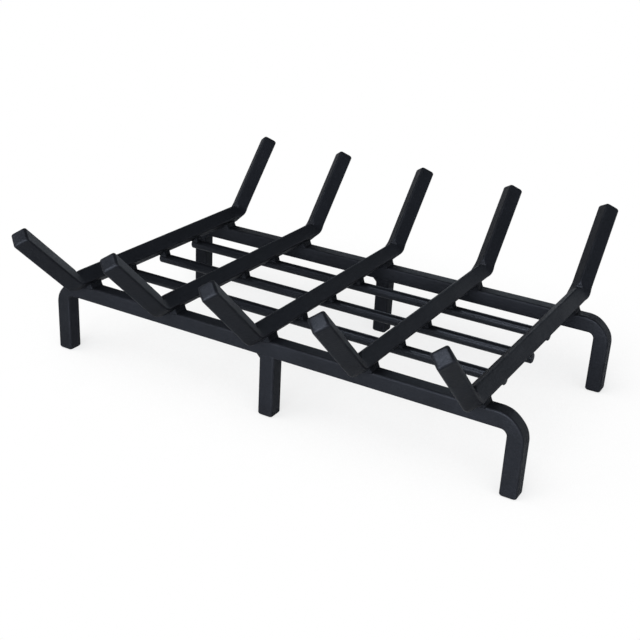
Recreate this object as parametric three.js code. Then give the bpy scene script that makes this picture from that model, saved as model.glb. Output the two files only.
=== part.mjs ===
// A welded log grate for an open fireplace or a wood stove.
//
// Five lengths of square bar lie front to back, each turned on edge and bent up at both ends, so that
// their arms hold the logs. They cross two square rails, whose ends are bent down into the corner legs.
// A short leg stands under the middle of each rail, and three round rods run under the bars between the
// rails to hold the embers. Weld beads join every crossing, and nothing on the grate moves.
//
// Millimetres. +X runs along the rails to the right, +Y to the back of the hearth, +Z up.
// The origin is on the floor, at the middle of the box that the grate fills.

import * as THREE from 'three';

// Stock that the grate is cut from.
const squareStock = 19.05;
const squareRounding = 2.5;
const rodDiameter = 12.7;
const sawnEdge = 3;
const rodChamfer = 1;

// Base: two bent rails, and a middle leg under each.
const overallWidth = 610;
const railSpacing = 285;
const railTop = 94;
const railBendRadius = 16;
const railBendThinning = 3.2;
const railBendSwell = 0.06;
const railNames = ['front', 'rear'];
const middleLegOffset = { front: 4, rear: 1 };

// Log bars: centreline sizes, with angles above the horizontal.
const barCount = 5;
const barPitch = 127;
const barShift = -2;
const barBendRadius = 18;
const barBendCrush = 3.8;
const barBendSwell = 0.09;
const frontOverhang = 30;
const frontArmLength = 116;
const frontArmAngle = 44;
const rearOverhang = 26;
const rearArmLength = 122;
const rearArmAngle = 49;

// A former marks the bar this far beyond each end of a bend.
const formerReach = 6;

// Round rods: how far each lies behind the middle of the deck, and how far its ends pass the centre lines
// of the outer bars.
const rods = {
  front: { behind: -70, left: 3, right: 0 },
  middle: { behind: -2, left: 3, right: 5 },
  rear: { behind: 68, left: 3, right: 0 },
};

// Weld beads: the opening in degrees between the faces that a bead joins, how far it spreads on them, its
// run, and the bearing in the middle of the run where it lies on the piece below. Beyond the bearing it
// tapers away along the bar.
const fitUpGap = 0.3;
const railBead = { opening: 45, size: 10, run: 27, bearing: 17, ripples: 6 };
const rodBead = { opening: 45, size: 8, run: 18, bearing: 9, ripples: 4 };
const legBead = { opening: 90, size: 8, run: 17, bearing: 12, ripples: 4 };
const beadHollow = 0.08;
const beadEnd = 0.25;
const beadRipple = 0.04;

// How the square bar is turned about its own line, in degrees.
const lyingFlat = 0;
const onEdge = 45;

// Smoothness of the faceted surfaces.
const cornerSteps = 3;
const edgeSteps = 3;
const bendStep = 2.2;
const rodSides = 24;
const hollowSteps = 3;

// Matt black heat-proof paint, which looks a little lighter on some pieces than on others.
const barPaint = 0x18191d;
const railPaint = 0x24272b;
const rodPaint = 0x202226;
const weldPaint = 0x1c1d21;
const paintRoughness = 0.5;
const paintMetalness = 0.1;

const halfStock = squareStock / 2;
const sharpRidge = halfStock * Math.SQRT2;
const onEdgeHalfWidth = (halfStock - squareRounding) * Math.SQRT2 + squareRounding;
const barCentreHeight = railTop + fitUpGap + onEdgeHalfWidth;

// Joins rings of equal point counts into one closed skin, with a flat cap on each end ring.
// The points of a ring run anticlockwise when seen from the end that the rings start at.
function loft(rings) {
  const sides = rings[0].length;
  const positions = rings.flat().flatMap((point) => [point.x, point.y, point.z]);
  const index = [];
  for (let ring = 0; ring < rings.length - 1; ring++) {
    for (let side = 0; side < sides; side++) {
      const next = (side + 1) % sides;
      const here = ring * sides;
      const there = here + sides;
      index.push(here + side, there + side, here + next);
      index.push(here + next, there + side, there + next);
    }
  }
  const last = (rings.length - 1) * sides;
  for (let side = 1; side < sides - 1; side++) {
    index.push(0, side, side + 1);
    index.push(last, last + side + 1, last + side);
  }
  const geometry = new THREE.BufferGeometry();
  geometry.setAttribute('position', new THREE.Float32BufferAttribute(positions, 3));
  geometry.setIndex(index);
  geometry.computeVertexNormals();
  return geometry;
}

// The outline of the square bar, with rounded corners, shrunk all round by an inset.
function squareOutline(turn, inset) {
  const cornerCentre = (halfStock - inset - squareRounding) * Math.SQRT2;
  const points = [];
  for (let corner = 0; corner < 4; corner++) {
    const diagonal = THREE.MathUtils.degToRad(45 + 90 * corner + turn);
    for (let step = 0; step <= cornerSteps; step++) {
      const angle = diagonal + Math.PI / 2 * (step / cornerSteps - 0.5);
      points.push(new THREE.Vector2(
        cornerCentre * Math.cos(diagonal) + squareRounding * Math.cos(angle),
        cornerCentre * Math.sin(diagonal) + squareRounding * Math.sin(angle),
      ));
    }
  }
  return points;
}

// The stations of a bar's centreline, which runs straight between its corners and turns left in an arc at
// each. A station has its place, its direction, how deep in a bend it is (0 to 1) and its outline's inset.
function bentCentreline(corners, bendRadius, softEnds) {
  const stations = [];
  const direction = (from, to) => to.clone().sub(from).normalize();
  const softEnd = (tip, along, side) => {
    for (let step = 0; step <= edgeSteps; step++) {
      const angle = Math.PI / 2 * step / edgeSteps;
      const depth = sawnEdge * (1 - Math.cos(angle));
      stations.push({
        at: tip.clone().addScaledVector(along, side * depth),
        along,
        bend: 0,
        inset: sawnEdge * (1 - Math.sin(angle)),
      });
    }
  };
  const start = corners[0];
  const end = corners[corners.length - 1];
  softEnd(start, direction(start, corners[1]), 1);
  for (let corner = 1; corner < corners.length - 1; corner++) {
    const before = direction(corners[corner - 1], corners[corner]);
    const after = direction(corners[corner], corners[corner + 1]);
    const turn = Math.acos(before.dot(after));
    const tangentLength = bendRadius * Math.tan(turn / 2);
    const arcStart = corners[corner].clone().addScaledVector(before, -tangentLength);
    const inward = new THREE.Vector2(-before.y, before.x);
    const centre = arcStart.clone().addScaledVector(inward, bendRadius);
    const halfArc = bendRadius * turn / 2;
    const halfMarked = halfArc + formerReach;
    const steps = Math.ceil(2 * halfMarked / bendStep);
    for (let step = 0; step <= steps; step++) {
      const fromMiddle = (2 * step / steps - 1) * halfMarked;
      const onArc = THREE.MathUtils.clamp(fromMiddle, -halfArc, halfArc);
      const along = before.clone().rotateAround(new THREE.Vector2(), (onArc + halfArc) / bendRadius);
      const outward = new THREE.Vector2(along.y, -along.x);
      stations.push({
        at: centre.clone().addScaledVector(outward, bendRadius).addScaledVector(along, fromMiddle - onArc),
        along,
        bend: Math.cos(Math.PI / 2 * fromMiddle / halfMarked) ** 2,
        inset: 0,
      });
    }
  }
  if (softEnds === 'both') {
    const lastStations = stations.length;
    softEnd(end, direction(corners[corners.length - 2], end), -1);
    stations.push(...stations.splice(lastStations).reverse());
  } else {
    stations.push({ at: end, along: direction(corners[corners.length - 2], end), bend: 0, inset: 0 });
  }
  return stations;
}

// Sweeps the square bar along its stations. Each outline point is (across, inward), where inward is the
// inside of the bends, and distort reshapes it in a bend. place turns (across, run, height) into space.
function sweepBar(stations, turn, distort, place) {
  const rings = stations.map((station) => {
    const inward = new THREE.Vector2(-station.along.y, station.along.x);
    return squareOutline(turn, station.inset).map((outlinePoint) => {
      const point = distort(outlinePoint, station.bend);
      const inPlane = station.at.clone().addScaledVector(inward, point.y);
      return place(point.x, inPlane.x, inPlane.y);
    });
  });
  return loft(rings);
}

// A bar bent on edge has its inner ridge crushed flat by the former, and its side ridges swell outwards.
function crushInnerRidge(point, bend) {
  const flat = onEdgeHalfWidth - barBendCrush * bend;
  const height = Math.min(point.y, flat);
  const swell = 1 + barBendSwell * bend * (1 - Math.abs(height) / onEdgeHalfWidth);
  const widening = (sharpRidge - height) / (sharpRidge - point.y);
  return new THREE.Vector2(point.x * swell * widening, height);
}

// A bar bent on the flat is drawn thin on the outside of the bend, and swells sideways on the inside.
function flattenOutside(point, bend) {
  const towardsInside = point.y / halfStock;
  const swell = 1 + railBendSwell * bend * towardsInside;
  const thinning = railBendThinning * bend * Math.max(-towardsInside, 0);
  return new THREE.Vector2(point.x * swell, point.y + thinning);
}

function logBarGeometry() {
  const polar = (length, degrees) => new THREE.Vector2(
    length * Math.cos(THREE.MathUtils.degToRad(degrees)),
    length * Math.sin(THREE.MathUtils.degToRad(degrees)),
  );
  const frontBend = new THREE.Vector2(-railSpacing / 2 - frontOverhang, barCentreHeight);
  const rearBend = new THREE.Vector2(railSpacing / 2 + rearOverhang, barCentreHeight);
  const corners = [
    frontBend.clone().add(polar(frontArmLength, 180 - frontArmAngle)),
    frontBend,
    rearBend,
    rearBend.clone().add(polar(rearArmLength, rearArmAngle)),
  ];
  const stations = bentCentreline(corners, barBendRadius, 'both');
  const place = (across, run, height) => new THREE.Vector3(across, run, height);
  return sweepBar(stations, onEdge, crushInnerRidge, place);
}

function railGeometry() {
  const legPlace = overallWidth / 2 - halfStock;
  const railHeight = railTop - halfStock;
  const corners = [
    new THREE.Vector2(legPlace, 0),
    new THREE.Vector2(legPlace, railHeight),
    new THREE.Vector2(-legPlace, railHeight),
    new THREE.Vector2(-legPlace, 0),
  ];
  const stations = bentCentreline(corners, railBendRadius, 'both');
  const place = (across, run, height) => new THREE.Vector3(run, -across, height);
  return sweepBar(stations, lyingFlat, flattenOutside, place);
}

function middleLegGeometry() {
  const corners = [
    new THREE.Vector2(0, 0),
    new THREE.Vector2(0, railTop - squareStock - fitUpGap),
  ];
  const stations = bentCentreline(corners, 0, 'start');
  const place = (across, run, height) => new THREE.Vector3(run, -across, height);
  return sweepBar(stations, lyingFlat, (point) => point, place);
}

// A round rod with its sawn edges chamfered, lying along X.
function rodGeometry(left, right) {
  const radius = rodDiameter / 2;
  const profile = [
    new THREE.Vector2(0, left),
    new THREE.Vector2(radius - rodChamfer, left),
    new THREE.Vector2(radius, left + rodChamfer),
    new THREE.Vector2(radius, right - rodChamfer),
    new THREE.Vector2(radius - rodChamfer, right),
    new THREE.Vector2(0, right),
  ];
  const geometry = new THREE.LatheGeometry(profile, rodSides);
  geometry.rotateZ(-Math.PI / 2);
  return geometry;
}

// A weld bead in the corner between two faces. The corner runs along Y through the origin, the lower face
// lies along +X, and the upper face rises from it at the opening angle. fallAway lowers the lower face
// along the run, where it is the round top of a rod.
function beadGeometry(bead, fallAway) {
  const angle = THREE.MathUtils.degToRad(bead.opening);
  const ringCount = 2 * bead.ripples + 1;
  const rings = [];
  for (let ring = 0; ring < ringCount; ring++) {
    const y = (ring / (ringCount - 1) - 0.5) * bead.run;
    const offBearing = Math.max(Math.abs(y) - bead.bearing / 2, 0) * 2 / (bead.run - bead.bearing);
    const fullness = beadEnd + (1 - beadEnd) * (1 - offBearing) ** 2;
    const ripple = 1 + beadRipple * (ring % 2 === 0 ? -1 : 1);
    const leg = bead.size * fullness * ripple;
    const drop = fallAway(Math.min(Math.abs(y), bead.bearing / 2));
    const points = [new THREE.Vector3(0, y, -drop)];
    for (let step = 0; step <= hollowSteps; step++) {
      const part = step / hollowSteps;
      const turned = angle * part;
      const flatFace = leg * Math.cos(angle / 2) / Math.cos(turned - angle / 2);
      const reach = flatFace - beadHollow * leg * Math.sin(Math.PI * part);
      const height = reach * Math.sin(turned) - drop * (1 - part);
      points.push(new THREE.Vector3(reach * Math.cos(turned), y, height));
    }
    rings.push(points);
  }
  return loft(rings);
}

const grate = new THREE.Group();

function addPiece(name, geometry, colour) {
  const paint = new THREE.MeshStandardMaterial({
    color: colour,
    roughness: paintRoughness,
    metalness: paintMetalness,
  });
  const mesh = new THREE.Mesh(geometry, paint);
  mesh.name = name;
  grate.add(mesh);
  return mesh;
}

const barPlaces = [];
for (let bar = 0; bar < barCount; bar++) {
  barPlaces.push((bar - (barCount - 1) / 2) * barPitch + barShift);
}
const leftmostBar = barPlaces[0];
const rightmostBar = barPlaces[barCount - 1];

barPlaces.forEach((x, bar) => {
  addPiece(`log_bar_${bar + 1}`, logBarGeometry(), barPaint).position.x = x;
});

const railPlaces = { front: -railSpacing / 2, rear: railSpacing / 2 };
for (const name of railNames) {
  addPiece(`${name}_rail`, railGeometry(), railPaint).position.y = railPlaces[name];
  const leg = addPiece(`${name}_middle_leg`, middleLegGeometry(), railPaint);
  leg.position.set(middleLegOffset[name], railPlaces[name], 0);
}

for (const [name, { behind, left, right }] of Object.entries(rods)) {
  const rod = addPiece(`${name}_rod`, rodGeometry(leftmostBar - left, rightmostBar + right), rodPaint);
  rod.position.set(0, behind, railTop - rodDiameter / 2);
}

// The corner that a bead fills under a bar starts where the bar's sloping face, moved out by the fit-up
// gap, meets the top of what the bar crosses, moved up by the same gap.
const sharpRidgeHeight = barCentreHeight - sharpRidge;
const beadCornerHeight = railTop + fitUpGap;
const beadCornerOffset = beadCornerHeight - sharpRidgeHeight + fitUpGap * Math.SQRT2;

function addCrossingBead(name, geometry, barX, y, side) {
  const bead = addPiece(name, geometry, weldPaint);
  bead.position.set(barX + side * beadCornerOffset, y, beadCornerHeight);
  bead.rotation.z = side > 0 ? 0 : Math.PI;
}

const flat = () => 0;
const rodTop = (y) => rodDiameter / 2 - Math.sqrt((rodDiameter / 2) ** 2 - y ** 2);

barPlaces.forEach((x, bar) => {
  for (const name of railNames) {
    const bead = beadGeometry(railBead, flat);
    addCrossingBead(`weld_${name}_rail_bar_${bar + 1}_left`, bead, x, railPlaces[name], -1);
    addCrossingBead(`weld_${name}_rail_bar_${bar + 1}_right`, bead.clone(), x, railPlaces[name], 1);
  }
  const sideWithRod = bar === barCount - 1 ? -1 : 1;
  for (const [name, { behind }] of Object.entries(rods)) {
    const bead = beadGeometry(rodBead, rodTop);
    addCrossingBead(`weld_${name}_rod_bar_${bar + 1}`, bead, x, behind, sideWithRod);
  }
});

// Each middle leg has a bead on its left, under the rail.
for (const name of railNames) {
  const bead = addPiece(`weld_${name}_middle_leg`, beadGeometry(legBead, flat), weldPaint);
  const legLeftFace = middleLegOffset[name] - halfStock;
  bead.position.set(legLeftFace - fitUpGap, railPlaces[name], railTop - squareStock - fitUpGap);
  bead.rotation.y = Math.PI;
}

// The origin moves to the middle of the grate's own box, on the floor.
const reach = new THREE.Box3().setFromObject(grate, true);
const middle = reach.getCenter(new THREE.Vector3());
grate.position.set(-middle.x, -middle.y, -reach.min.z);

export default grate;
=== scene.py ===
"""A welded log grate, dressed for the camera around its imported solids. Metres, +Z up, its front at -Y."""
import math
from collections import namedtuple

import bmesh
import bpy
from mathutils import Matrix, Vector, noise


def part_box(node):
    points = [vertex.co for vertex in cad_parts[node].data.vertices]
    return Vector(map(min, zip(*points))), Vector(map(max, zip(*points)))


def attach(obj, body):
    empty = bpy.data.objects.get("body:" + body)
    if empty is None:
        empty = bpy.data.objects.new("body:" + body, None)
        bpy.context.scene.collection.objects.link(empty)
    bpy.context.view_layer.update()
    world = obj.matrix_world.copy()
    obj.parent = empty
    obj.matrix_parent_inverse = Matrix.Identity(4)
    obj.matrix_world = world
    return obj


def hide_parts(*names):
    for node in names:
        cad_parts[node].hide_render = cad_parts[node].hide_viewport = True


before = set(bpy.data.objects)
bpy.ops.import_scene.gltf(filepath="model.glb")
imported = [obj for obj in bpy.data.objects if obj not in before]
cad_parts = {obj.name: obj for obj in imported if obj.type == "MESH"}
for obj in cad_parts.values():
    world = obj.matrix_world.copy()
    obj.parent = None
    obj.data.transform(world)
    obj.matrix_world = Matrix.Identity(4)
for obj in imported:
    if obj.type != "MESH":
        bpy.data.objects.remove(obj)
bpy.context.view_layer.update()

# ------------------------------------------------------------------------------------------------------
# Front and rear rails. Each is one length of hot rolled square steel bar, lying flat, with both ends bent
# cold round a former into the corner legs, so the outside of a bend is drawn thin and the inside swells.
# Everything on the grate is sprayed with one coat of satin black stove paint.
# ------------------------------------------------------------------------------------------------------

stock_low, stock_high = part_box("front_middle_leg")
half_stock = (stock_high.y - stock_low.y) / 2
corner_rounding = 0.0025
sawn_edge = 0.0035
rail_bend_radius = 0.016
rail_bend_thinning = 0.0032
rail_bend_swell = 0.06
former_reach = 0.006

# How finely a bar is drawn: steps round a corner, over a flat and in a dressed end, the distances of its
# rings, how close two points are to be one, and how much the flats count over the corners in the shading.
corner_steps = 6
flat_steps = 4
dressed_rings = 6
straight_step = 0.010
bend_step = 0.0009
touching = 0.00002
flats_weight = 90

# A station is one ring of a bar: its middle, which way the bar runs there, how deep in a bend it is (0 to 1),
# and how much its half width is drawn in. A point of the outline lies across the bar and towards the inside
# of its bends, and is marked by how near it is to the middle of a corner (0 to 1).
Station = namedtuple("Station", "at along bend inset")
OutlinePoint = namedtuple("OutlinePoint", "across inward corner")


def square_outline(half, turn):
    """The bar's section, anticlockwise. Each point knows how near the middle of a rounded corner it is."""
    centre = (half - corner_rounding) * math.sqrt(2)
    points = []
    for quarter in range(4):
        diagonal = math.radians(45 + 90 * quarter + turn)
        following = diagonal + math.pi / 2
        arc = []
        for step in range(corner_steps + 1):
            swing = (step / corner_steps - 0.5) * math.pi / 2
            angle = diagonal + swing
            across = centre * math.cos(diagonal) + corner_rounding * math.cos(angle)
            inward = centre * math.sin(diagonal) + corner_rounding * math.sin(angle)
            arc.append(OutlinePoint(across, inward, math.cos(2 * swing) ** 0.5))
        points += arc
        leaving = Vector(arc[-1][:2])
        normal = diagonal + math.pi / 4
        arriving = Vector((
            centre * math.cos(following) + corner_rounding * math.cos(normal),
            centre * math.sin(following) + corner_rounding * math.sin(normal),
        ))
        for step in range(1, flat_steps):
            across, inward = leaving.lerp(arriving, step / flat_steps)
            points.append(OutlinePoint(across, inward, 0.0))
    return points


def bent_bar(corners, bend_radius):
    """Stations of a bar that runs straight between its corners and turns left in an arc at each."""
    corners = [Vector(corner) for corner in corners]
    headings = [(after - before).normalized() for before, after in zip(corners, corners[1:])]
    stations = []

    def straight(start, end, along):
        count = max(1, math.ceil((end - start).length / straight_step))
        for step in range(1, count):
            stations.append(Station(start.lerp(end, step / count), along, 0.0, 0.0))

    def dressed_end(tip, along, side):
        made = []
        for step in range(dressed_rings + 1):
            angle = math.pi / 2 * step / dressed_rings
            depth = sawn_edge * (1 - math.cos(angle))
            made.append(Station(tip + along * side * depth, along, 0.0, sawn_edge * (1 - math.sin(angle))))
        return made

    stations += dressed_end(corners[0], headings[0], 1)
    here = stations[-1].at
    for corner, before, after in zip(corners[1:-1], headings, headings[1:]):
        turn = before.angle(after)
        tangent = bend_radius * math.tan(turn / 2)
        arc_start = corner - before * tangent
        centre = arc_start + Vector((-before.y, before.x)) * bend_radius
        straight(here, arc_start - before * former_reach, before)
        half_arc = bend_radius * turn / 2
        half_marked = half_arc + former_reach
        steps = math.ceil(2 * half_marked / bend_step)
        for step in range(steps + 1):
            from_middle = (2 * step / steps - 1) * half_marked
            on_arc = min(max(from_middle, -half_arc), half_arc)
            along = Matrix.Rotation((on_arc + half_arc) / bend_radius, 2) @ before
            outward = Vector((along.y, -along.x))
            at = centre + outward * bend_radius + along * (from_middle - on_arc)
            bend = math.cos(math.pi / 2 * from_middle / half_marked) ** 2
            stations.append(Station(at, along, bend, 0.0))
        here = stations[-1].at
    ending = dressed_end(corners[-1], headings[-1], -1)
    ending.reverse()
    straight(here, ending[0].at, headings[-1])
    return stations + ending


def bands_between(skin, rings):
    """Joins each ring of points to the next with a band of faces."""
    bands = []
    for ring, following in zip(rings, rings[1:]):
        band = []
        for side in range(len(ring)):
            after = (side + 1) % len(ring)
            band.append(skin.faces.new((ring[side], following[side], following[after], ring[after])))
        bands.append(band)
    return bands


def finished_mesh(skin, name):
    """Turns the skin's faces outwards and hands it over as a mesh."""
    bmesh.ops.recalc_face_normals(skin, faces=skin.faces)
    mesh = bpy.data.meshes.new(name)
    skin.to_mesh(mesh)
    skin.free()
    return mesh


def bar_mesh(name, stations, turn, distort, place):
    """Sweeps the square section along its stations. place turns (across, run, height) into the frame.

    The points are marked where they lie near a corner, and where a former has pressed them. The last band
    and the cap at each end have the second finish, of the sawn ends."""
    skin = bmesh.new()
    corner_layer = skin.verts.layers.float.new("corner")
    pressed_layer = skin.verts.layers.float.new("pressed")
    rings = []
    for station in stations:
        inward = Vector((-station.along.y, station.along.x))
        ring = []
        for point in square_outline(half_stock - station.inset, turn):
            across, height = distort(point, station.bend)
            in_plane = station.at + inward * height
            spot = skin.verts.new(place(across, in_plane.x, in_plane.y))
            spot[corner_layer] = max(point.corner, min(station.inset / sawn_edge * 2, 1))
            spot[pressed_layer] = max(point.inward - height, 0) / half_stock
            ring.append(spot)
        rings.append(ring)
    bands = bands_between(skin, rings)
    sawn_faces = bands[0] + bands[-1]
    for ring in (rings[0], rings[-1]):
        middle = skin.verts.new(sum((spot.co for spot in ring), Vector()) / len(ring))
        middle[corner_layer] = 1
        for spot, following in zip(ring, ring[1:] + ring[:1]):
            sawn_faces.append(skin.faces.new((spot, following, middle)))
    for face in sawn_faces:
        face.material_index = 1
    bmesh.ops.remove_doubles(skin, verts=skin.verts, dist=touching)
    return finished_mesh(skin, name)


def set_up(name, mesh, node, finishes):
    """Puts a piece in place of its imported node, with its finishes and evenly shaded flats."""
    piece = bpy.data.objects.new(name, mesh)
    bpy.context.scene.collection.objects.link(piece)
    for finish in finishes:
        mesh.materials.append(finish)
    mesh.shade_smooth()
    shading = piece.modifiers.new("even shading", "WEIGHTED_NORMAL")
    shading.weight = flats_weight
    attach(piece, "root")
    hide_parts(node)


class Varying:
    """A value that varies over a surface: one socket of its finish, with the arithmetic that it allows."""

    def __init__(self, finish, socket):
        self.finish = finish
        self.socket = socket

    def maths(self, operation, *values):
        return self.finish.node("ShaderNodeMath", {"operation": operation}, dict(enumerate(values)))

    def __add__(self, other):
        return self.maths("ADD", self, other)

    __radd__ = __add__

    def __sub__(self, other):
        return self.maths("SUBTRACT", self, other)

    def __rsub__(self, other):
        return self.maths("SUBTRACT", other, self)

    def __mul__(self, other):
        return self.maths("MULTIPLY", self, other)

    __rmul__ = __mul__


class Finish:
    """The shader nodes of a material, or of the studio, built up in procedural layers."""

    def __init__(self, owner):
        owner.use_nodes = True
        self.owner = owner
        self.tree = owner.node_tree
        self.tree.nodes.clear()

    def node(self, kind, settings=None, sockets=None, output=0):
        """Any node: its settings come first, then its sockets by name or number, as values or as links."""
        made = self.tree.nodes.new(kind)
        for name, setting in (settings or {}).items():
            if name == "stops":
                ramp = made.color_ramp
                for index, (position, colour) in enumerate(setting):
                    stop = ramp.elements[index] if index < 2 else ramp.elements.new(position)
                    stop.position = position
                    stop.color = colour
            else:
                setattr(made, name, setting)
        for name, value in (sockets or {}).items():
            if isinstance(value, Varying):
                self.tree.links.new(value.socket, made.inputs[name])
            else:
                made.inputs[name].default_value = value
        return Varying(self, made.outputs[output]) if made.outputs else None

    def spread(self, value, low, high, to_low=0.0, to_high=1.0):
        """Maps low..high of a value onto another range, and keeps it inside that range."""
        sockets = {"Value": value, "From Min": low, "From Max": high, "To Min": to_low, "To Max": to_high}
        return self.node("ShaderNodeMapRange", {"clamp": True}, sockets)

    def noise(self, scale, detail, roughness=0.5, stretch=None, low=0.0, high=1.0):
        """Cloudy noise at so many lumps a metre, with its range between low and high spread over 0 to 1."""
        spot = self.node("ShaderNodeTexCoord", output="Object")
        if stretch:
            spot = self.node("ShaderNodeMapping", sockets={"Vector": spot, "Scale": stretch})
        sockets = {"Vector": spot, "Scale": scale, "Detail": detail, "Roughness": roughness}
        cloud = self.node("ShaderNodeTexNoise", {"noise_dimensions": "3D"}, sockets, "Fac")
        return self.spread(cloud, low, high)

    def marked(self, name):
        """A mark that the mesh carries at its points."""
        return self.node("ShaderNodeAttribute", {"attribute_name": name}, output="Fac")

    def tint(self, share, under, over):
        """One colour over another, by its share. A Mix of colours reads sockets 0, 6 and 7, and gives 2."""
        settings = {"data_type": "RGBA", "blend_type": "MIX", "clamp_factor": True}
        return self.node("ShaderNodeMix", settings, {0: share, 6: under, 7: over}, 2)

    def relief(self, height, depth, under=None):
        """Height turned into relief of a real depth in metres, over the relief under it."""
        sockets = {"Strength": 1.0, "Distance": depth, "Height": height}
        if under is not None:
            sockets["Normal"] = under
        return self.node("ShaderNodeBump", sockets=sockets)


def slate(level, blue=0.20):
    """A near-black of the paint in linear light, which leans to blue."""
    return (level * (1 - 0.3 * blue), level, level * (1 + blue), 1)


bluish_gloss = (0.76, 0.83, 1.0, 1)
run_stretch = 0.12
draw_line_depth = 0.00004
grain_depth = 0.00005


def stove_paint(name, level, run_axis, matt=0.50, gloss=0.28, pitting=0.00022, sawn=False):
    """Satin black stove paint over hot rolled steel, on a bar that runs along an axis."""
    coat = Finish(bpy.data.materials.new(name))
    stretch = tuple(run_stretch if axis == run_axis else 1.0 for axis in "xyz")
    clouds = coat.noise(scale=16, detail=3, low=0.30, high=0.70)
    draw_lines = coat.noise(scale=620, detail=2, stretch=stretch, low=0.35, high=0.75)
    dust = coat.noise(scale=240, detail=5, roughness=0.7, low=0.56, high=0.80)
    patches = coat.noise(scale=90, detail=4, roughness=0.6, low=0.40, high=0.66)
    rubbed = coat.marked("corner") * patches
    # The paint is drawn lighter in blotches where the former pressed the inner ridge of a bend.
    pressed_blotches = coat.noise(scale=130, detail=4, roughness=0.6, low=0.35, high=0.65)
    lightened_where_pressed = coat.spread(coat.marked("pressed"), 0.04, 0.22) * pressed_blotches

    colour = coat.tint(clouds, slate(level * 0.75), slate(level * 1.25, 0.30))
    colour = coat.tint(draw_lines * 0.20, colour, slate(level * 2.2))
    colour = coat.tint(dust * 0.30, colour, slate(level * 4.0, 0.05))
    # Lighter blotches where the former pressed a bend.
    colour = coat.tint(lightened_where_pressed * 0.40, colour, slate(level * 6.0, 0.12))
    colour = coat.tint(rubbed * 0.30, colour, slate(level * 4.0, 0.15))
    if sawn:
        speckle = coat.noise(scale=1150, detail=2, roughness=0.6, low=0.56, high=0.72)
        colour = coat.tint(speckle * 0.6, colour, slate(level * 7.0))

    roughness = matt + 0.10 * clouds - 0.04 * rubbed + 0.10 * dust - 0.04 * draw_lines

    relief = coat.relief(coat.noise(scale=330, detail=3, roughness=0.55), pitting)
    relief = coat.relief(draw_lines, draw_line_depth, relief)
    relief = coat.relief(coat.noise(scale=1500, detail=2), grain_depth, relief)

    surface = coat.node("ShaderNodeBsdfPrincipled", sockets={
        "Base Color": colour,
        "Roughness": roughness,
        "Metallic": 0.0,
        "Specular IOR Level": gloss,
        "Specular Tint": bluish_gloss,
        "Normal": relief,
    })
    coat.node("ShaderNodeOutputMaterial", sockets={"Surface": surface})
    return coat.owner


rail_paint = stove_paint("satin black stove paint on rails", 0.0074, "x")
sawn_paint = stove_paint(
    "satin black stove paint on sawn ends", 0.0075, "z", matt=0.38, gloss=0.40, sawn=True)


def flatten_outside(point, bend):
    """A bar bent on the flat is drawn thin on the outside of the bend and swells on the inside."""
    towards_inside = point.inward / half_stock
    swell = 1 + rail_bend_swell * bend * towards_inside
    thinning = rail_bend_thinning * bend * max(-towards_inside, 0)
    return point.across * swell, point.inward + thinning


for end in ("front", "rear"):
    rail_low, rail_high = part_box(end + "_rail")
    rail_y = (rail_low.y + rail_high.y) / 2
    left_leg = rail_low.x + half_stock
    right_leg = rail_high.x - half_stock
    foot = rail_low.z
    top = rail_high.z - half_stock
    corners = [(right_leg, foot), (right_leg, top), (left_leg, top), (left_leg, foot)]
    rail = bar_mesh(
        end + " rail",
        bent_bar(corners, rail_bend_radius),
        0,
        flatten_outside,
        lambda across, run, height: (run, rail_y - across, height),
    )
    set_up(end + "_rail_bar", rail, end + "_rail", [rail_paint, sawn_paint])

# ------------------------------------------------------------------------------------------------------
# Middle legs. A short length of the same square bar stands under the middle of each rail, with its foot
# dressed like the feet of the corner legs, and one weld on its left holds it.
# ------------------------------------------------------------------------------------------------------

for end in ("front", "rear"):
    low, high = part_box(end + "_middle_leg")
    leg_x = (low.x + high.x) / 2
    leg_y = (low.y + high.y) / 2
    leg = bar_mesh(
        end + " middle leg",
        bent_bar([(0, low.z), (0, high.z + sawn_edge)], 0),
        0,
        lambda point, bend: point[:2],
        lambda across, run, height: (leg_x + run, leg_y - across, height),
    )
    set_up(end + "_middle_leg_bar", leg, end + "_middle_leg", [rail_paint, sawn_paint])

# ------------------------------------------------------------------------------------------------------
# Log bars. Five lengths of the same square bar lie across the rails, turned on edge, and each is bent up
# at both ends into the arms that hold the logs. The former crushes the ridge on the inside of each bend.
# ------------------------------------------------------------------------------------------------------

bar_bend_radius = 0.018
bar_bend_crush = 0.0038
bar_bend_swell = 0.09

# How far the corners of a bar's centreline lie beyond the rails, and how its arms rise from there.
front_overhang = 0.030
front_arm_length = 0.1158
front_arm_angle = math.radians(44)
rear_overhang = 0.026
rear_arm_length = 0.1218
rear_arm_angle = math.radians(49)
fit_up_gap = 0.0003

front_rail_low, front_rail_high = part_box("front_rail")
rear_rail_low, rear_rail_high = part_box("rear_rail")
front_rail_y = (front_rail_low.y + front_rail_high.y) / 2
rear_rail_y = (rear_rail_low.y + rear_rail_high.y) / 2
bar_underside = front_rail_high.z + fit_up_gap
sharp_ridge = half_stock * math.sqrt(2)
half_on_edge = (half_stock - corner_rounding) * math.sqrt(2) + corner_rounding

bar_paint = stove_paint("satin black stove paint on log bars", 0.0052, "y")


def bar_corners(centre_height):
    """The bar's centreline in (run, height), from the front arm's tip to the rear arm's tip."""
    front_bend = Vector((front_rail_y - front_overhang, centre_height))
    rear_bend = Vector((rear_rail_y + rear_overhang, centre_height))
    front_arm = Vector((-math.cos(front_arm_angle), math.sin(front_arm_angle))) * front_arm_length
    rear_arm = Vector((math.cos(rear_arm_angle), math.sin(rear_arm_angle))) * rear_arm_length
    return [front_bend + front_arm, front_bend, rear_bend, rear_bend + rear_arm]


def crush_inner_ridge(point, bend):
    """A bar bent on edge has its inner ridge crushed flat by the former, and its side ridges swell."""
    height = min(point.inward, half_on_edge - bar_bend_crush * bend)
    swell = 1 + bar_bend_swell * bend * (1 - abs(height) / half_on_edge)
    widening = (sharp_ridge - height) / (sharp_ridge - point.inward)
    return point.across * swell * widening, height


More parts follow.
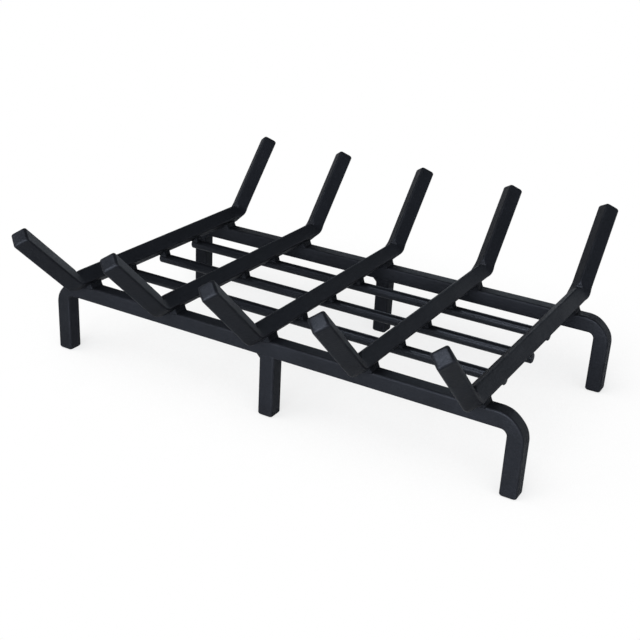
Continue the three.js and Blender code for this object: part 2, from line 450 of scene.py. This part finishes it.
for name in sorted(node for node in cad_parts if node.startswith("log_bar_")):
    low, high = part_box(name)
    bar_x = (low.x + high.x) / 2
    bar = bar_mesh(
        name.replace("_", " "),
        bent_bar(bar_corners(bar_underside + half_on_edge), bar_bend_radius),
        45,
        crush_inner_ridge,
        lambda across, run, height: (bar_x + across, run, height),
    )
    set_up(name + "_bent", bar, name, [bar_paint, sawn_paint])

# ------------------------------------------------------------------------------------------------------
# Ember rods. Three lengths of round rod run under the log bars, between the rails, so that embers don't
# fall through. Their sawn ends are chamfered, and stop under the outer bars.
# ------------------------------------------------------------------------------------------------------

rod_chamfer = 0.0010
rod_sides = 40
rod_stretches = 48
rod_paint = stove_paint(
    "satin black stove paint on rods", 0.0046, "x", matt=0.32, gloss=0.42, pitting=0.00009)


def rod_mesh(name, low, high):
    """A round rod that fills the box between its lowest and highest corners, marked along its chamfers."""
    radius = (high.z - low.z) / 2
    centre = (low + high) / 2
    profile = [(low.x, radius - rod_chamfer, 1.0), (low.x + rod_chamfer, radius, 1.0)]
    for step in range(1, rod_stretches):
        profile.append((low.x + (high.x - low.x) * step / rod_stretches, radius, 0.0))
    profile += [(high.x - rod_chamfer, radius, 1.0), (high.x, radius - rod_chamfer, 1.0)]
    skin = bmesh.new()
    corner_layer = skin.verts.layers.float.new("corner")
    skin.verts.layers.float.new("pressed")
    rings = []
    for x, reach, edge in profile:
        ring = []
        for side in range(rod_sides):
            angle = 2 * math.pi * side / rod_sides
            spot = skin.verts.new((x, centre.y + reach * math.cos(angle), centre.z + reach * math.sin(angle)))
            spot[corner_layer] = edge
            ring.append(spot)
        rings.append(ring)
    bands_between(skin, rings)
    for ring in (rings[0], rings[-1]):
        skin.faces.new(ring).material_index = 1
    return finished_mesh(skin, name)


for name in ("front_rod", "middle_rod", "rear_rod"):
    rod = rod_mesh(name.replace("_", " "), *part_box(name))
    set_up(name + "_round", rod, name, [rod_paint, sawn_paint])

# ------------------------------------------------------------------------------------------------------
# Weld beads. Each crossing, and the top of each middle leg, is joined by a fillet of weld metal, laid in
# short overlapping steps and painted with the rest. A bead fills the corner between the two pieces.
# ------------------------------------------------------------------------------------------------------

# A bead opens by the angle between the two faces that it joins, and spreads over each by its size. Its
# bearing is the middle of its run, where it lies on both. Beyond that it tapers away along one of them.
Bead = namedtuple("Bead", "opening size run bearing ripples")
rail_bead = Bead(math.radians(45), 0.010, 0.027, 0.0186, 8)
rod_bead = Bead(math.radians(45), 0.008, 0.018, 0.0104, 5)
leg_bead = Bead(math.radians(90), 0.008, 0.017, 0.012, 5)
root_overlap = 0.0005
rings_per_ripple = 6
hollow_steps = 8

# Shares of a bead's size: how hollow its face is, how deep its ripples are, how small it ends, and how much
# its size wavers along the run.
bead_hollow = 0.08
bead_ripple = 0.05
bead_end = 0.14
bead_waver = 0.08
waver_lumps = 4
waver_between_beads = 3.7

# How far a ripple's middle lags behind its sides, in ripples, and how far its crest is marked as a corner.
ripple_bow = 0.35
crest_mark = 0.15

flat_reach = half_stock - corner_rounding
ridge_to_face = sharp_ridge - half_on_edge
rod_low, rod_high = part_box("front_rod")
rod_radius = (rod_high.z - rod_low.z) / 2
weld_paint = stove_paint("satin black stove paint on welds", 0.0040, "y", matt=0.55, gloss=0.18)


def bead_mesh(name, bead, seed, edge_reach, edge_radius, place):
    """A bead along Y, in the corner between a face along +X and one that stands at the bead's opening.

    The face along +X falls away from edge_reach on, with the radius of what the bead lies on."""
    skin = bmesh.new()
    corner_layer = skin.verts.layers.float.new("corner")
    skin.verts.layers.float.new("pressed")
    last_ring = rings_per_ripple * bead.ripples
    root_across = root_overlap * (1 + math.cos(bead.opening)) / math.sin(bead.opening)
    bearing_end = bead.bearing / 2
    rings = []
    for count in range(last_ring + 1):
        share = count / last_ring
        y = (share - 0.5) * bead.run
        beyond = max(abs(y) - bearing_end, 0) / (bead.run / 2 - bearing_end)
        fullness = bead_end + (1 - bead_end) * (1 - beyond) ** 2
        waver = noise.noise(Vector((seed * waver_between_beads, share * waver_lumps, 0.5)))
        size = bead.size * fullness * (1 + bead_waver * waver)
        over_edge = min(max(abs(y) - edge_reach, 0), bearing_end - edge_reach)
        drop = edge_radius - math.sqrt(edge_radius ** 2 - over_edge ** 2)
        drop *= (1 - beyond) ** 2 * (1 + 2 * beyond)
        ring = [skin.verts.new(place(-root_across, y, -drop - root_overlap))]
        for step in range(hollow_steps + 1):
            part = step / hollow_steps
            middle = math.sin(math.pi * part)
            scallop = abs(math.sin(math.pi * (share * bead.ripples - ripple_bow * middle)))
            turned = bead.opening * part
            flat_face = size * math.cos(bead.opening / 2) / math.cos(turned - bead.opening / 2)
            reach = flat_face - size * (bead_hollow - bead_ripple * scallop) * middle
            spot = skin.verts.new(place(
                reach * math.cos(turned) - root_across,
                y,
                reach * math.sin(turned) - drop * (1 - part) - root_overlap,
            ))
            spot[corner_layer] = crest_mark * scallop * middle
            ring.append(spot)
        rings.append(ring)
    bands_between(skin, rings)
    for ring in (rings[0], rings[-1]):
        skin.faces.new(ring)
    return finished_mesh(skin, name)


def beside_bar(bar_x, side, middle_y):
    """Places a bead under one side of a log bar, on what the bar lies on."""
    root_x = bar_x + side * ridge_to_face
    return lambda out, along, up: (root_x + side * out, middle_y + side * along, bar_underside + up)


def beside_leg(leg_low, leg_high, middle_y):
    """Places a bead at the top of a middle leg's left side, under the rail."""
    return lambda out, along, down: (leg_low.x - out, middle_y + along, leg_high.z - down)


for seed, name in enumerate(sorted(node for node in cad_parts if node.startswith("weld_"))):
    low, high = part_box(name)
    middle_y = (low.y + high.y) / 2
    if "_bar_" in name:
        bar_low, bar_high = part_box("log_bar_" + name.split("_bar_")[1].split("_")[0])
        bar_x = (bar_low.x + bar_high.x) / 2
        side = 1 if (low.x + high.x) / 2 > bar_x else -1
        place = beside_bar(bar_x, side, middle_y)
    else:
        place = beside_leg(*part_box(name.replace("weld_", "")), middle_y)
    if "_rod_" in name:
        mesh = bead_mesh(name.replace("_", " "), rod_bead, seed, 0, rod_radius, place)
    else:
        bead = rail_bead if "_rail_" in name else leg_bead
        mesh = bead_mesh(name.replace("_", " "), bead, seed, flat_reach, corner_rounding, place)
    set_up(name + "_fillet", mesh, name, [weld_paint])

# ------------------------------------------------------------------------------------------------------
# Hearth floor. A plain pale disc, which the camera sees as white. It is shaded only where the grate hides
# the open side in front, where the light comes from, so the shadow is soft and lies under the grate.
# ------------------------------------------------------------------------------------------------------

floor_radius = 9.0
floor_drop = 0.0002
shade_reach = 0.34
shaded_openness = 0.62
clear_openness = 0.93
least_white = 0.79

floor_mesh = bpy.data.meshes.new("floor")
floor_skin = bmesh.new()
bmesh.ops.create_circle(floor_skin, cap_ends=True, segments=96, radius=floor_radius)
floor_skin.to_mesh(floor_mesh)
floor_skin.free()
floor = bpy.data.objects.new("floor", floor_mesh)
floor.location.z = -floor_drop
bpy.context.scene.collection.objects.link(floor)

pale = Finish(bpy.data.materials.new("pale floor"))
lit = pale.node("ShaderNodeBsdfDiffuse", sockets={"Color": (0.68, 0.68, 0.68, 1)})
glow = pale.node("ShaderNodeEmission", sockets={"Color": (1.0, 1.0, 1.0, 1), "Strength": 1.0})
towards_light = pale.node("ShaderNodeCombineXYZ", sockets={"X": 0.0, "Y": -0.71, "Z": 0.71})
openness = pale.node(
    "ShaderNodeAmbientOcclusion", {"samples": 16}, {"Distance": shade_reach, "Normal": towards_light}, "AO")
white_share = pale.spread(openness, shaded_openness, clear_openness, least_white, 1.0)
floor_seen = pale.node("ShaderNodeLightPath", output="Is Camera Ray")
floor_surface = pale.node("ShaderNodeMixShader", sockets={0: floor_seen * white_share, 1: lit, 2: glow})
pale.node("ShaderNodeOutputMaterial", sockets={"Surface": floor_surface})
floor_mesh.materials.append(pale.owner)

# ------------------------------------------------------------------------------------------------------
# Studio. The camera looks down from the front right, and sees a white backdrop. The steel is lit by one
# strong softbox in front, six weak ones round about and overhead, and a pale horizon under a dim ceiling.
# ------------------------------------------------------------------------------------------------------

horizon_colour = (0.96, 0.97, 1.0, 1)
above_horizon_colour = (0.06, 0.064, 0.075, 1)
ceiling_colour = (0.03, 0.032, 0.040, 1)

world = bpy.data.worlds.new("studio")
bpy.context.scene.world = world
studio = Finish(world)
heading = studio.node("ShaderNodeTexCoord", output="Generated")
rise = studio.node("ShaderNodeSeparateXYZ", sockets={"Vector": heading}, output="Z")
walls = studio.node("ShaderNodeValToRGB", {
    "stops": [
        (0.0, horizon_colour),
        (0.15, horizon_colour),
        (0.22, above_horizon_colour),
        (1.0, ceiling_colour),
    ],
}, {"Fac": rise})
surround = studio.node("ShaderNodeBackground", sockets={"Color": walls, "Strength": 1.0})
backdrop = studio.node("ShaderNodeBackground", sockets={"Color": (1.0, 1.0, 1.0, 1), "Strength": 1.0})
studio_seen = studio.node("ShaderNodeLightPath", output="Is Camera Ray")
studio_surface = studio.node("ShaderNodeMixShader", sockets={0: studio_seen, 1: surround, 2: backdrop})
studio.node("ShaderNodeOutputWorld", sockets={"Surface": studio_surface})

lamp_aim = Vector((0, 0, 0.1))
cool = (0.76, 0.88, 1.0)


def softbox(name, place, power, colour=cool, width=1.1):
    """A round soft lamp that points at the middle of the grate."""
    lamp = bpy.data.lights.new(name, "AREA")
    lamp.shape = "DISK"
    lamp.size = width
    lamp.energy = power
    lamp.color = colour
    holder = bpy.data.objects.new(name, lamp)
    bpy.context.scene.collection.objects.link(holder)
    holder.location = place
    holder.rotation_euler = (lamp_aim - Vector(place)).to_track_quat("-Z", "Y").to_euler()


softbox("front softbox", (0.4, -2.2, 0.7), 57, (0.96, 0.98, 1.0))
softbox("overhead softbox", (-0.5, -1.25, 2.0), 9, (0.93, 0.97, 1.0), 0.7)
softbox("right softbox", (2.2, -0.3, 1.2), 3.5)
softbox("left softbox", (-2.2, -0.3, 1.2), 2)
softbox("rear right softbox", (1.3, 1.9, 1.1), 2.7)
softbox("rear left softbox", (-0.8, 2.2, 1.2), 2.3)
softbox("rear softbox", (-0.3, 2.6, 0.35), 3)

camera_place = (0.565880, -1.038911, 0.585050)
camera_azimuth = math.radians(29.648)
camera_elevation = math.radians(23.162)
camera_roll = math.radians(2.928)
lens = bpy.data.cameras.new("camera")
lens.sensor_width = 36
lens.lens = 59.469
lens.shift_x = 0.01224
lens.shift_y = -0.01689
camera = bpy.data.objects.new("camera", lens)
bpy.context.scene.collection.objects.link(camera)
camera.location = camera_place
tilt = math.pi / 2 - camera_elevation
level_view = Matrix.Rotation(camera_azimuth, 3, "Z") @ Matrix.Rotation(tilt, 3, "X")
camera.rotation_euler = (level_view @ Matrix.Rotation(camera_roll, 3, "Z")).to_euler()
bpy.context.scene.camera = camera
bpy.context.scene.view_settings.view_transform = "Standard"
